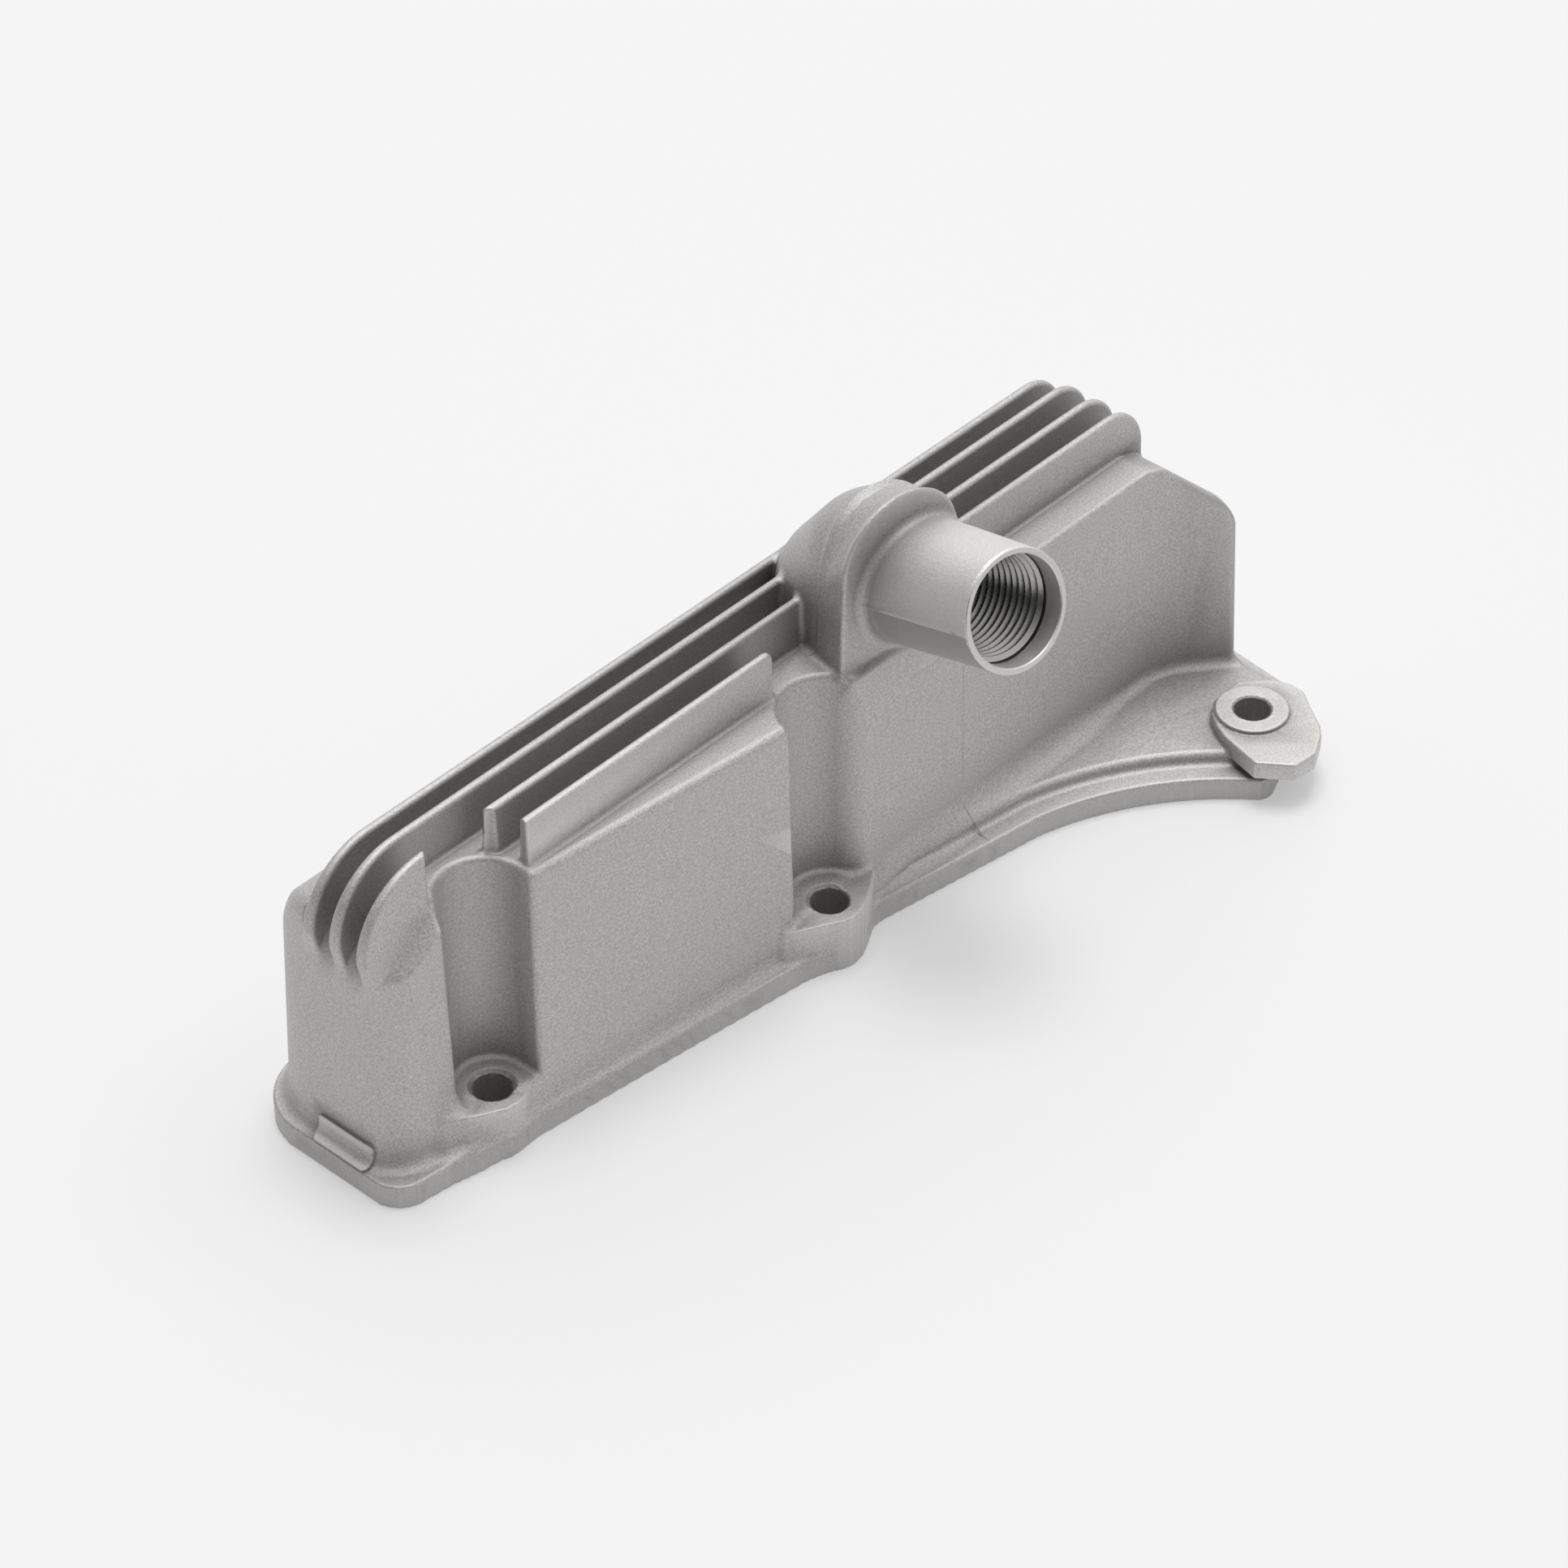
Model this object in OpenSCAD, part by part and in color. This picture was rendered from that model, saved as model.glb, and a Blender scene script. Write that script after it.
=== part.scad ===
// Finned cast-aluminium crankcase cover with a threaded port.
// Origin: centre bolt hole on the sealing face. +X along the cooling fins,
// +Y to the plain rear wall, +Z up from the sealing face. Millimetres.

/* [Body] */
// Left end wall, distance from the centre bolt hole
left_x = 88.4; // [80:0.2:95]
// Rear wall at the sealing face, distance from the centre bolt hole
rear_y = 41.6; // [38:0.2:44]
// Height of the roof between the fins
roof_z = 50.8; // [46:0.2:56]
// Casting wall thickness
wall_t = 3.6; // [3:0.1:4.5]
// Casting draft of the walls, degrees
draft = 1.5; // [0.5:0.1:2]
// Skew of the front wall and the port against the fins, degrees
front_skew = 7.6; // [6:0.1:9]
// Chamfer of the roof between the fins at the left end
end_chamfer = 8; // [6:0.5:9]
// Radius from the roof to the rear wall
rear_r = 17.7; // [15:0.1:19]

/* [Flange] */
// Thickness of the flange edge
flange_t = 4.5; // [4:0.1:6]
// Height of the wing plate behind the curved ledge
wing_t = 6.7; // [6:0.1:8]
// Width of the ledge along the curved edge
ledge_w = 4.3; // [3:0.1:6]
// Radius of the concave edge of the wing
arc_r = 58.5; // [58:0.1:59]

/* [Bolt holes] */
// Diameter of the bolt holes
bolt_d = 6.4; // [6:0.1:7]
// Height of the two lugs in the pockets
lug_z = 10.5; // [9:0.1:12]
// Height of the corner lug under its ring
corner_z = 9.2; // [8:0.1:10]
// Height of the corner lug's overhang above the sealing face
lip_z = 5.6; // [5:0.1:7]
// Radius of the wrench pocket at the foot
pocket_r = 6.5; // [6.2:0.1:7]
// Extra pocket radius at the roof
pocket_flare = 0.8; // [0.4:0.1:1.2]

/* [Fins] */
// Distance from fin to fin
fin_pitch = 5.82; // [5.6:0.02:6]
// Height of the fin crests above the sealing face
fin_top = 59.4; // [57:0.2:62]
// Thickness of a fin at its crest
fin_t = 1.6; // [1.4:0.1:2.2]
// Thickness of a fin at its foot
fin_foot = 2.6; // [2.2:0.1:3]
// Crest radius of the fins over the left end
fin_left_r = 13.4; // [12:0.2:14]
// Crest radius of the fins at the right end
fin_right_r = 8.8; // [8:0.2:10]

/* [Port] */
// Height of the port axis where it leaves the front wall
port_z = 63.1; // [62:0.1:64]
// Upward tilt of the port, degrees
port_tilt = 17.8; // [16:0.1:19]
// Length of the port tube from the front wall
port_len = 25.2; // [24:0.1:27]
// Outer radius of the port tube at the mouth
port_r = 10.15; // [10:0.05:10.6]
// Core diameter of the port thread
port_core_d = 16.4; // [16.2:0.1:16.6]
// Length of the threaded hole behind the lead-in
thread_l = 20; // [16:0.5:22]
// Diameter of the passage behind the thread
passage_d = 15; // [13:0.1:16]
// Diameter of the plain lead-in at the mouth
lead_d = 18.1; // [18:0.05:18.4]
// Depth of the plain lead-in
lead_l = 3.6; // [2:0.1:5]

/* [Hidden] */
$fn = 96;
alloy = [0.66, 0.655, 0.645];
h1 = [-67.8, 9.9];            // left bolt hole
h2 = [0, 0];                  // centre bolt hole
h3 = [85.9, -20.4];           // corner bolt hole
arc_c = [30, -64.3];          // centre of the wing's concave edge
fin_y = [9.3 + 3*fin_pitch, 9.3 + 2*fin_pitch, 9.3 + fin_pitch, 9.3];
ts = tan(front_skew);
td = tan(draft);
function front_y(x) = -3.8 - ts*x;          // front edge of the flange
function wall_y(x) = 0.3 - tan(5.9)*x;      // top edge of the first front wall

// placed along the port axis: +Z out of the mouth, origin in the front wall
module on_port() {
    translate([21.4, 1.5, port_z]) rotate([0, 0, -8.6]) rotate([90 - port_tilt, 0, 0]) children();
}

// sealing flange with its rounded left end and the wing at the right
module flange_outline() {
    polygon([[-79, 42.9], [-90.7, 31], [-90.7, 13], [-86, front_y(-86) + 0.3],
             [0, front_y(0)], [4, -3.2], [8, -1.7], [24, -3.6], [34, -5], [60, -8], [84, -14],
             [101, -16.3], [103, -1], [103, 38], [98.4, 42.9]]);
    translate([-78.7, 30.9]) circle(r = 12);
    translate([-86, 12.9]) circle(r = 4.7);
    translate([98, 37.9]) circle(r = 5);
    translate(h2) circle(r = 5.7);
    translate([h1[0], h1[1] + 0.1]) circle(r = 5.6);
}

module wing_outline(inset, right) {
    difference() {
        polygon([[10, -1.9 + inset], [34, -5.9 + inset], [38, -8 + inset], [60, -30], [76.5, -30.3],
                 [80, -30.2], [84, -28.6], [96.4, -21.5], [right, -17.5], [right, 8], [10, 8]]);
        translate(arc_c) circle(r = arc_r + inset);
    }
}

// the corner lug: a plate that overhangs the flange, on a foot set back under it
module corner_lug() {
    translate([0, 0, lip_z]) linear_extrude(corner_z - lip_z) polygon([[79.2, -19.4], [75.3, -29.2],
        [79.3, -34.6], [84.4, -35.4], [88.9, -33], [93.8, -27], [96.4, -22.8], [96.2, -18.5],
        [91, -13.4], [84, -13.6], [80.2, -15.6]]);
    linear_extrude(lip_z + 0.1) polygon([[79.6, -19.4], [77, -28.4], [80, -29.6], [84, -28], [92.6, -22.8],
        [93.4, -18.5], [90, -14.2], [84, -14.2], [81, -15.8]]);
    translate([h3[0], h3[1], 0]) cylinder(r = 6.5, h = corner_z + 0.8);
}

module flange() {
    linear_extrude(flange_t) flange_outline();
    linear_extrude(flange_t) wing_outline(0, 101);
    linear_extrude(wing_t) wing_outline(ledge_w, 98.6);
    // blank pad on the left end
    translate([-89.9, 17.4, 0]) cube([5, 10, flange_t + 1.4]);
}

// plan of the body walls at the sealing face
module body_plan() {
    difference() {
        union() {
            polygon([[-left_x, 29.6], [-left_x, 18], [-81, 10.6], [-70, 10.6], [-64, 8],
                     [-60.6, wall_y(-60.6) - 1.1], [-8.6, wall_y(-8.6) - 1.3], [-8.6, 0.5], [82, 0.5],
                     [96.4, -8.2], [98.6, -6.6], [98.6, rear_y - 5], [93.6, rear_y], [-76.4, rear_y]]);
            translate([-left_x + 12, rear_y - 12]) circle(r = 12);
            translate([-81, 18]) circle(r = 7.4);
            translate([96.5, -6.3]) circle(r = 2.1);
            translate([93.6, rear_y - 5]) circle(r = 5);
            polygon([[81, 0.5], [88.9, -0.9], [95.2, -7.95], [97, -6], [90, 2]]);
        }
        translate([81.6, -14.5]) circle(r = 15);
    }
}

// length profile: drafted left wall, rounded fall at the right; c is the
// chamfer where the left wall meets the roof
module length_profile(c) {
    polygon([[-left_x, 0], [-left_x + td*(roof_z - c), roof_z - c],
             [-left_x + 1.1*c + 0.6, roof_z], [83.5, roof_z], [85.5, roof_z - 0.9],
             [88.9, roof_z - 3.6], [91.2, roof_z - 5.7], [93.5, roof_z - 8.6], [95.3, roof_z - 12.2],
             [96.5, roof_z - 15.6], [97.4, roof_z - 22], [98.6, 0]]);
}

// cross profile: drafted rear wall, widely rounded into the roof
module cross_profile() {
    polygon([[-10, 0], [-10, roof_z], [rear_y - 1 - rear_r, roof_z], [rear_y - 1, roof_z - rear_r], [rear_y, 0]]);
    translate([rear_y - 1 - rear_r, roof_z - rear_r]) circle(r = rear_r);
}

// cuts everything in front of a drafted wall through p, turned by a in plan
module front_cut(p, a, w, lean) {
    translate([p[0], p[1], 0]) rotate([0, 0, -a]) rotate([-lean, 0, 0])
        translate([-0.5, -30, -5]) cube([w, 30, 80]);
}

module body() {
    difference() {
        intersection() {
            linear_extrude(roof_z) body_plan();
            union() {
                translate([0, 27.2, 0]) rotate([90, 0, 0]) linear_extrude(47) length_profile(end_chamfer);
                translate([0, 60, 0]) rotate([90, 0, 0]) linear_extrude(33) length_profile(2.6);
            }
            translate([-100, 0, 0]) rotate([90, 0, 90]) linear_extrude(220) cross_profile();
        }
        // lean of the front walls
        translate([-95, 10.6, 0]) rotate([-3.6, 0, 0]) translate([0, -20, -2]) cube([28, 20, 80]);
        front_cut([-61, wall_y(-61) - 1.2], 5.9, 53.4, 1.3);
        translate([-8.6, 0.5, 0]) rotate([-1.2, 0, 0]) translate([0, -20, -2]) cube([90, 20, 80]);
        // broken edge of the roof over the left front corner
        translate([-95, 13.1, 46.6]) rotate([-24, 0, 0]) translate([0, -20, -5]) cube([28, 20, 30]);
        // wrench pockets over the two lugs
        pocket(h1);
        pocket(h2);
        translate([h2[0] - 7.4, -12, lug_z]) cube([14.7, 12, 60]);
        translate([h1[0] - 6.7, h1[1] - 12, lug_z]) cube([13.9, 12, 60]);
        translate([h1[0] - 6.7, h1[1] - 16, -1]) cube([13.9, 12, 60]);
    }
}

module fin(y, top, x0, x1) {
    lr = fin_left_r;
    rr = fin_right_r;
    translate([0, y, 0]) intersection() {
        // side profile
        translate([0, 5, 0]) rotate([90, 0, 0]) linear_extrude(10) intersection() {
            union() {
                translate([-left_x + lr, roof_z - 2]) square([left_x - lr + 80, top - roof_z + 2]);
                polygon([[-left_x, top - lr], [-left_x + 1.2, 39.5], [-70, 39.5], [-70, top - lr]]);
                translate([-left_x + lr, top - lr]) circle(r = lr);
                translate([70, roof_z - 8]) square([10 + rr + 0.6, top - rr - roof_z + 8]);
                translate([80, top - rr]) circle(r = rr);
            }
            translate([x0, 38]) square([x1 - x0, 40]);
        }
        // drafted cross-section with a rounded crest
        translate([-100, 0, 0]) rotate([90, 0, 90]) linear_extrude(200) union() {
            polygon([[-fin_foot/2 - 0.3, 38], [-fin_foot/2, roof_z], [-fin_t/2, top - fin_t/2],
                     [fin_t/2, top - fin_t/2], [fin_foot/2, roof_z], [fin_foot/2 + 0.3, 38]]);
            translate([0, top - fin_t/2]) circle(r = fin_t/2);
        }
    }
}

module fins() {
    fin(fin_y[0], fin_top - 1.5, -left_x, 92);
    fin(fin_y[1], fin_top, -left_x, 92);
    difference() {
        union() {
            fin(fin_y[2], fin_top, -left_x, 92);
            fin(fin_y[3], fin_top, -62, 92);
        }
        translate([h1[0] + 0.3, h1[1] + 0.4, roof_z - 0.05]) cylinder(r = 8.3, h = 20);
        translate([h1[0], h1[1], 30]) cylinder(r = pocket_r + pocket_flare, h = 25);
        translate([-4, -2, roof_z - 0.05]) cube([16, 12.6, 20]);
        translate([h2[0], h2[1], 30]) cylinder(r = pocket_r + pocket_flare, h = 25);
    }
}

// tall domed hub that turns the passage from the body into the port
module hub() {
    hull() {
        translate([18.8, 2.2, 69.1]) rotate([0, 0, -8.2]) rotate([-90, 0, 0]) cylinder(r = 11.9, h = 0.2, $fn = 64);
        translate([20.4, 8.2, 63.6]) sphere(r = 12.2, $fn = 36);
        translate([21.8, 14.9, 55]) sphere(r = 12.7, $fn = 36);
        translate([21.8, 14.9, roof_z - 6]) cylinder(r = 13, h = 1, $fn = 48);
        translate([18.6, 2.2, roof_z - 0.6]) rotate([0, 0, -8.2]) translate([-12.4, 0, 0]) cube([24.6, 2, 12]);
    }
}

module port_tube() {
    on_port() translate([0, 0, -6]) cylinder(r1 = 11, r2 = port_r, h = port_len + 6);
}

module pocket(c) {
    translate([c[0], c[1], lug_z]) cylinder(r1 = pocket_r, r2 = pocket_r + pocket_flare, h = roof_z - lug_z + 0.2);
}

// hollow underside, open at the sealing face
module cavity() {
    difference() {
        union() {
            intersection() {
                translate([0, 0, -1]) linear_extrude(1 + roof_z - wall_t) cavity_plan();
                translate([0, 60, 0]) rotate([90, 0, 0]) linear_extrude(80)
                    polygon([[-84.6, -1], [-83.6, roof_z - wall_t - 6], [-77.6, roof_z - wall_t], [82, roof_z - wall_t],
                             [86, 44], [89.4, 40], [91.6, 35], [93.2, 28], [94.6, -1]]);
                translate([-100, 0, 0]) rotate([90, 0, 90]) linear_extrude(220) union() {
                    polygon([[-5, -1], [-5, roof_z - wall_t], [rear_y - 1 - rear_r, roof_z - wall_t],
                             [rear_y - 1 - wall_t, roof_z - rear_r], [rear_y - wall_t, -1]]);
                    translate([rear_y - 1 - rear_r, roof_z - rear_r]) circle(r = rear_r - wall_t);
                }
            }
            // shallow relief under the wing
            translate([0, 0, -1]) linear_extrude(1 + 2.6) difference() {
                polygon([[24, 2.5], [34, 1], [48, -2], [62, -8.5], [74, -18], [79, -13], [84, -11], [90, -10.5], [95, -10.5], [95, 6], [24, 6]]);
                translate(h3) circle(r = 10);
            }
        }
        translate([h1[0], h1[1], -2]) cylinder(r = pocket_r + 3.6, h = roof_z + 4);
        translate([h2[0], h2[1], -2]) cylinder(r = pocket_r + 3.8, h = roof_z + 4);
    }
    // passage up into the hub and out to the port
    translate([21.8, 14.6, 40]) cylinder(r = 8.2, h = 16);
    translate([21.8, 14.6, 56]) sphere(r = 8.2);
}

module cavity_plan() {
    polygon([[-84.6, 21], [-81, 17.6], [-75, 16.8], [-66, 15], [-60, 11.2], [-10, 5.8], [-8, 5], [84, 5], [90, 1.8],
             [94.4, -1.5], [94.6, 33], [90, 38], [-76, 38], [-84.6, 29.4]]);
}

module pocket_lug(c) {
    translate([c[0], c[1], 0]) cylinder(r = 5.7, h = lug_z);
}

module bolt_hole(c, z) {
    translate([c[0], c[1], -1]) cylinder(d = bolt_d, h = z + 2);
}

module crankcase_cover() color(alloy) difference() {
    union() {
        flange();
        corner_lug();
        body();
        fins();
        hub();
        port_tube();
        pocket_lug(h1);
        pocket_lug(h2);
        // webs that tie the lugs to the walls
        linear_extrude(lug_z) polygon([[-75.4, 8.2], [-72.4, 6.2], [-69.6, 4.5], [-65.4, 4.9], [-60.9, 6.8], [-60.5, 14], [-66, 18], [-74.5, 16]]);
        linear_extrude(lug_z) polygon([[-11, -0.2], [-2.2, -5.25], [2.2, -5.25], [5.5, -2.6], [8.6, -0.2], [8.6, 5], [4, 8.5], [-6, 8.5], [-11, 4]]);
    }
    cavity();
    bolt_hole(h1, lug_z);
    bolt_hole(h2, lug_z);
    bolt_hole(h3, corner_z + 1);
    // port: passage, core hole of the thread, plain lead-in
    on_port() {
        translate([0, 0, -11]) cylinder(d = passage_d, h = port_len);
        translate([0, 0, port_len - lead_l - thread_l]) cylinder(d = port_core_d, h = thread_l + 1);
        translate([0, 0, port_len - lead_l]) cylinder(d = lead_d, h = lead_l + 2);
    }
}

crankcase_cover();
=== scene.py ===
import math
from concurrent.futures import ThreadPoolExecutor
import bmesh
import bpy
import numpy as np
import openvdb
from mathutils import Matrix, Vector


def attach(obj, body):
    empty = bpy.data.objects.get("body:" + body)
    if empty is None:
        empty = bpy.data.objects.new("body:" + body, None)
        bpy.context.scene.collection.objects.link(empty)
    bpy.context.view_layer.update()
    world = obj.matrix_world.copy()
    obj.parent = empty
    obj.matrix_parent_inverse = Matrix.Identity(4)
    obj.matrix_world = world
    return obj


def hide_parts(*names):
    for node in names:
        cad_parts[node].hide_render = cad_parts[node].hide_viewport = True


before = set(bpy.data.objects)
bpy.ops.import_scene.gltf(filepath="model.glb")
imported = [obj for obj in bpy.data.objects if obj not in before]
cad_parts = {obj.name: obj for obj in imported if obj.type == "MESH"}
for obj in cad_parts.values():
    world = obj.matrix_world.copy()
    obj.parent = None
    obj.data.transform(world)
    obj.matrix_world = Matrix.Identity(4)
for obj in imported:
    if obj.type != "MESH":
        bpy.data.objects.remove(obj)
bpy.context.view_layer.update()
f4 = np.float32

# ---------------------------------------------------------------------------
# The casting as a distance field, in millimetres, in the row frame: every wall
# has its draft, every corner its casting radius. Negative is metal.
# ---------------------------------------------------------------------------
H1, H2, H3 = (-67.8, 9.9), (0.0, 0.0), (85.9, -20.4)
ARC_C, ARC_R = (30.0, -64.3), 58.5
FIN_Y = (26.76, 20.94, 15.12, 9.3)
ROOF = 50.8
PORT_O = np.array([21.4, 1.5, 63.1])
PORT_A = np.array([-0.14238, -0.94142, 0.3057])
PORT_U = np.array([-0.98876, 0.14954, 0.0])       # level, to the left
PORT_V = np.cross(PORT_U, PORT_A)
if PORT_V[2] < 0:
    PORT_V = -PORT_V
PORT_L = 25.2


def uni(a, b, r):
    """union with a fillet"""
    u = np.maximum(r - a, 0)
    v = np.maximum(r - b, 0)
    return np.maximum(np.minimum(a, b), r) - np.sqrt(u * u + v * v)


def isec(a, b, r):
    """intersection with a rounded edge"""
    u = np.maximum(r + a, 0)
    v = np.maximum(r + b, 0)
    return np.minimum(np.maximum(a, b), -r) + np.sqrt(u * u + v * v)


def cut(a, b, r):
    """a without b, with a rounded edge"""
    return isec(a, -b, r)


def step(t, lo, hi):
    t = np.clip((t - lo) / (hi - lo), 0, 1)
    return t * t * (3 - 2 * t)


def poly(x, y, pts):
    """signed distance to a closed outline"""
    d = np.full(x.shape, 1e9, f4)
    s = np.ones(x.shape, bool)
    n = len(pts)
    for i in range(n):
        ax, ay = pts[i]
        bx, by = pts[i - 1]
        ex, ey = bx - ax, by - ay
        wx, wy = x - ax, y - ay
        t = np.clip((wx * ex + wy * ey) / (ex * ex + ey * ey), 0, 1)
        d = np.minimum(d, (wx - ex * t) ** 2 + (wy - ey * t) ** 2)
        c1, c2, c3 = y >= ay, y < by, ex * wy > ey * wx
        s = np.where((c1 & c2 & c3) | (~c1 & ~c2 & ~c3), ~s, s)
    return np.where(s, 1, -1).astype(f4) * np.sqrt(d)


def front_y(x):
    return -3.8 - 0.13343 * x


def arc_points(cx, cy, r, a0, a1, n):
    return [(cx + r * math.cos(math.radians(a0 + (a1 - a0) * i / n)),
             cy + r * math.sin(math.radians(a0 + (a1 - a0) * i / n))) for i in range(n + 1)]


def inset(pts, r):
    """outline moved inwards by r, so that poly(...) - r has round corners"""
    area2 = sum(pts[i - 1][0] * pts[i][1] - pts[i][0] * pts[i - 1][1] for i in range(len(pts)))
    s = 1 if area2 > 0 else -1
    out = []
    for i in range(len(pts)):
        (ax, ay), (bx, by), (cx, cy) = pts[i - 1], pts[i], pts[(i + 1) % len(pts)]
        n1, n2 = math.hypot(bx - ax, by - ay) * s, math.hypot(cx - bx, cy - by) * s
        ux, uy, vx, vy = -(by - ay) / n1, (bx - ax) / n1, -(cy - by) / n2, (cx - bx) / n2
        k = r / (1 + ux * vx + uy * vy)
        out.append((bx + (ux + vx) * k, by + (uy + vy) * k))
    return out


FLANGE = [(-60, 42.9), (-60, front_y(-60)), (0, front_y(0)), (4, -3.2), (8, -1.7), (24, -3.6), (34, -5),
          (60, -8), (84, -14), (101, -16.3), (103, -1)] + arc_points(98, 37.9, 5, 0, 90, 10)
WING_A = [(9.4, -6), (40, -14), (72, -30.8), (80, -30.1), (84, -28.6), (96.4, -21.5), (101, -17.5), (101, 8), (9.4, 8)]
WING_B = [(10.4, -4), (40, -14), (72, -30), (76, -27.5), (80, -25.5), (96, -20), (98.6, -17.5), (98.6, 8), (10.4, 8)]
PLATE = inset([(79.0, -18.0), (77.7, -20.5), (76.8, -23.4), (75.3, -29.2), (79.4, -34.8), (84.3, -35.3),
               (88.9, -33.0), (90.9, -31.2), (93.8, -27.0), (96.4, -23.6), (96.6, -20.8), (95.6, -17.6),
               (91, -13.4), (84, -13.6), (80.8, -15.6)], 0.8)
FOOT = inset([(79.6, -19.4), (77.2, -28.2), (80, -29.4), (84, -28), (92.6, -22.8), (93.4, -18.5), (90, -14.2),
              (84, -14.2), (81, -15.8)], 0.8)
LUG1 = inset([(-78.8, 9.7), (-73.4, 6.5), (-69.6, 4.4), (-65.4, 4.8), (-60.7, 6.5), (-60.3, 14), (-66, 18), (-76.5, 16)], 1.0)
LUG2 = inset([(-11.6, -0.1), (-2.2, -5.15), (2.0, -5.5), (4.6, -4.3), (7.4, -2.7), (11.0, -0.2), (8.6, 5), (4, 8.5), (-6, 8.5), (-11, 4)], 1.0)


def flange_plan(x, y):
    a = isec(isec(-x - 90.7, y - 42.9, 12.0), (front_y(x) - y) * 0.9912, 4.7)
    return np.where(x < -20, a, poly(x, y, FLANGE))


def wing_plan(x, y, w, outline, r):
    """the wing: straight front edge at the left, running into a wide arc"""
    line = (-0.256 - 0.1646 * x + w * (1 - 0.6 * step(x, 21, 10)) - y) * 0.9867
    arc = ARC_R + w - np.hypot(x - ARC_C[0], y - ARC_C[1])
    return isec(poly(x, y, outline), np.where(x < 38, line, np.minimum(line, arc)), r)


def lug(x, y, z, outline, c, top):
    d = np.minimum(poly(x, y, outline) - 1.0, np.hypot(x - c[0], y - c[1]) - 5.65)
    return isec(d, z - top, 0.25)


def pocket(x, y, z, c, r0, r1, drift):
    t = np.clip((z - 10.5) / 40.3, 0, 1.1)
    cx, cy = c[0] - drift * t, c[1] + drift * t
    d = np.hypot(x - cx, np.maximum(y - cy, 0)) - (r0 + (r1 - r0) * t)
    return isec(d, 10.5 - z, 1.1)


def body(x, y, z):
    left = -x - 88.55 + 0.029 * z
    rear = y - 41.85 + 0.026 * z
    top = z - ROOF
    plan = isec(left, rear, 12.3)
    # front walls
    fl = 10.4 + 0.018 * z - y
    f1 = (0.3 - 0.10334 * x - 1.15 * (1 - z / ROOF) - y) * 0.9947
    f2 = 0.5 + 0.0215 * z - y
    f3 = 54.7 - (0.6247 * x + 0.7809 * y)
    right = isec(((x - 90) * 0.674 + (z - 46.2) * 0.7385), x - 98.55 + 0.04 * z, 3.0)
    f23 = uni(f2, np.where(x > 60, f3, 60), 3.3)
    front = np.where(x < -66, fl, np.where(x < -8.6, f1, f23))
    plan = np.where(x < -66, isec(plan, fl, 7.4), np.maximum(plan, front))
    roofs = isec(rear, top, 17.7)
    a = np.clip((30 - y) / 6, 0, 1)
    b = np.clip((-76 - x) / 8, 0, 1)
    k = (0.9 + 0.6 * step(x, 0, -8)) * a + (1 - a) * 2.8 * b + 0.02
    d = isec(plan, roofs, k)
    d = np.where(x > 60, isec(d, right, np.where(y < 8, 1.8, 2.6)), d)
    # chamfer of the roof at the left end, in the valleys between the fins
    ch = np.minimum((-x - 79.5) * 0.774 + (z - ROOF) * 0.633, np.minimum(27.2 - y, y - 15.1))
    d = np.where(x < -60, isec(d, ch, 2.0), d)
    # sloping facet between the foot of the third fin and the front-left wall
    fc = -0.4745 * (x + 88.4) - 0.559 * (y - 14.1) + 0.6794 * (z - 40)
    return np.where(x < -66, isec(d, np.minimum(fc, 15.1 - y), 0.35), d)


def fin(x, y, z, yi, top, x0, x1):
    left = (-88.4 + 0.2 * np.maximum(46 - z, 0) - x) * 0.98
    d = isec(left, z - top, 13.4)
    d = np.where(x > 0, isec(x - 88.8, z - top, 8.8), d)
    d = isec(d, np.maximum(x0 - x, x - x1), 1.3)
    half = 0.8 + 0.3 * np.clip((top - z) / 8.6, 0, 1.6)
    return isec(d, np.abs(y - yi) - half, 0.75)


def hub(x, y, z):
    n = (-0.14263, -0.98978)
    s = (x - 18.8) * 0.98978 + (y - 2.2) * -0.14263
    t = -((x - 6.4) * n[0] + (y - 3.74) * n[1])
    tt = np.clip(t / 6.17, 0, 1)
    cs, cz, cr = 0.728 * tt, 69.1 - 5.5 * tt, 11.9 + 0.3 * tt
    rr = np.hypot(s - cs, z - cz)
    arch = np.where(z > cz, rr - cr, np.abs(s - cs) - cr - 0.35 * np.clip((cz - z) / 12, 0, 1))
    k = np.clip((z - cz) / np.maximum(rr, 1e-3), 0, 1)
    arch = arch / np.sqrt(1 + (0.89 * k) ** 2)
    arch = np.maximum(arch, t - 6.6)
    # round cone from the middle to the rear sphere
    a = np.array([20.4, 8.2, 63.6]); b = np.array([21.8, 14.9, 55.0])
    ab = b - a
    px, py, pz = x - a[0], y - a[1], z - a[2]
    u = np.clip((px * ab[0] + py * ab[1] + pz * ab[2]) / (ab @ ab), 0, 1)
    cone = np.sqrt((px - ab[0] * u) ** 2 + (py - ab[1] * u) ** 2 + (pz - ab[2] * u) ** 2) - (12.2 + 0.1 * u)
    u2 = np.clip((px * ab[0] + py * ab[1]) / (ab[0] ** 2 + ab[1] ** 2), 0, 1)
    stad = np.hypot(px - ab[0] * u2, py - ab[1] * u2) - (12.2 + 0.1 * u2)
    skirt = np.maximum(stad, pz - ab[2] * u2)
    d = uni(arch, np.minimum(cone, skirt), 0.1 + 6.0 * k * k)
    d = isec(d, -t, 0.7)
    return np.maximum(d, 44 + 6.2 * step(x, 13, 9.5) - z)


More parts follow.
